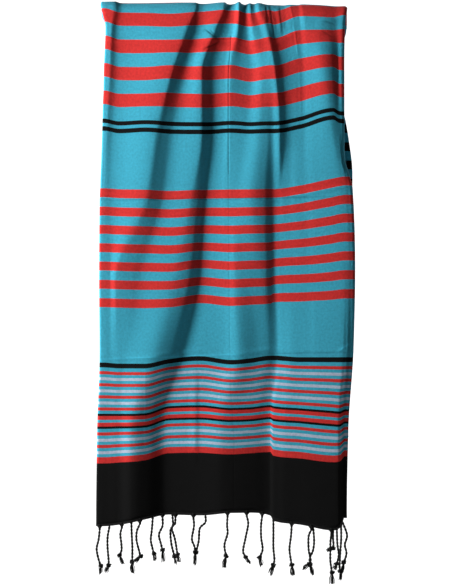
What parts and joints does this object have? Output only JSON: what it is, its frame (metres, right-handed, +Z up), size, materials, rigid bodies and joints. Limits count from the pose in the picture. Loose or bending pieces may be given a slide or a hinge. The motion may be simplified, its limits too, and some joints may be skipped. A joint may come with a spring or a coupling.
{
  "type": "fouta towel",
  "caption": "Striped flat-woven towel with twisted fringe at both ends, sides turned in, hung doubled over an unseen bar.",
  "frame": {"origin": "on the hang line at the top edge of the towel, at mid width and midway between its front and back halves", "axes": "+Z up, +X to the right as seen from the front, +Y from the front half towards the back half"},
  "size_m": [0.5031, 0.0669, 1.1306],
  "materials": {
    "woven_cloth": "flat-woven cotton, teal ground with red, black and pale stripes across",
    "fringe_yarn": "black cotton warp, twisted in two plies and knotted"
  },
  "bodies": {
    "root": {"cloth": "woven_cloth", "fringe_front": "fringe_yarn", "fringe_back": "fringe_yarn"}
  },
  "joints": []
}
